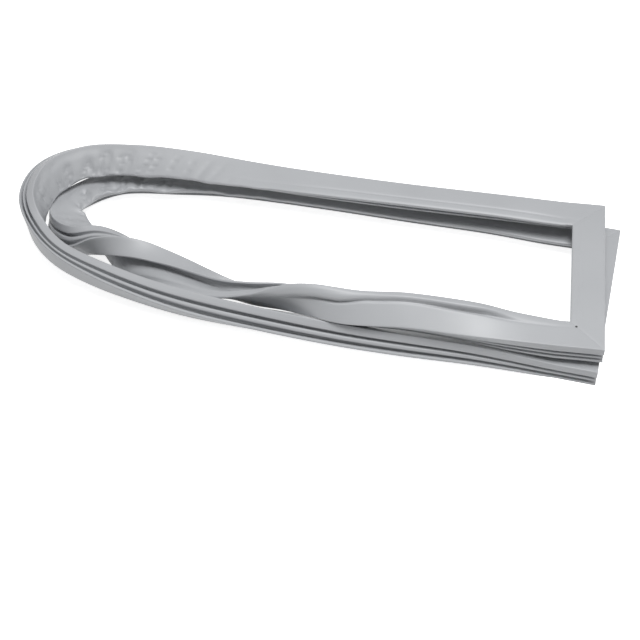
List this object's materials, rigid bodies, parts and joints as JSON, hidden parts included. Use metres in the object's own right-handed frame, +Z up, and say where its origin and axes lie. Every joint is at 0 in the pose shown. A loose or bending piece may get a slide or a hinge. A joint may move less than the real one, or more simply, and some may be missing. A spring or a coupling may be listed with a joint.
{
  "type": "refrigerator door gasket",
  "caption": "Grey vinyl door seal frame with welded mitred corners, magnet strips in its pocket and a flat mounting flange, lying loosely wound twice round.",
  "frame": {"origin": "middle of the coil's footprint, on the surface that it lies on", "axes": "+Z up off that surface, +X along the coil's length towards its two short sides, +Y across it"},
  "size_m": [0.6, 0.2278, 0.0577],
  "materials": {
    "vinyl": "matte",
    "flexible_magnet": "matte"
  },
  "bodies": {
    "root": {"vinyl_frame": "vinyl", "magnet_strip_top_short": "flexible_magnet", "magnet_strip_outer_long": "flexible_magnet", "magnet_strip_bottom_short": "flexible_magnet", "magnet_strip_inner_long": "flexible_magnet"}
  },
  "joints": []
}
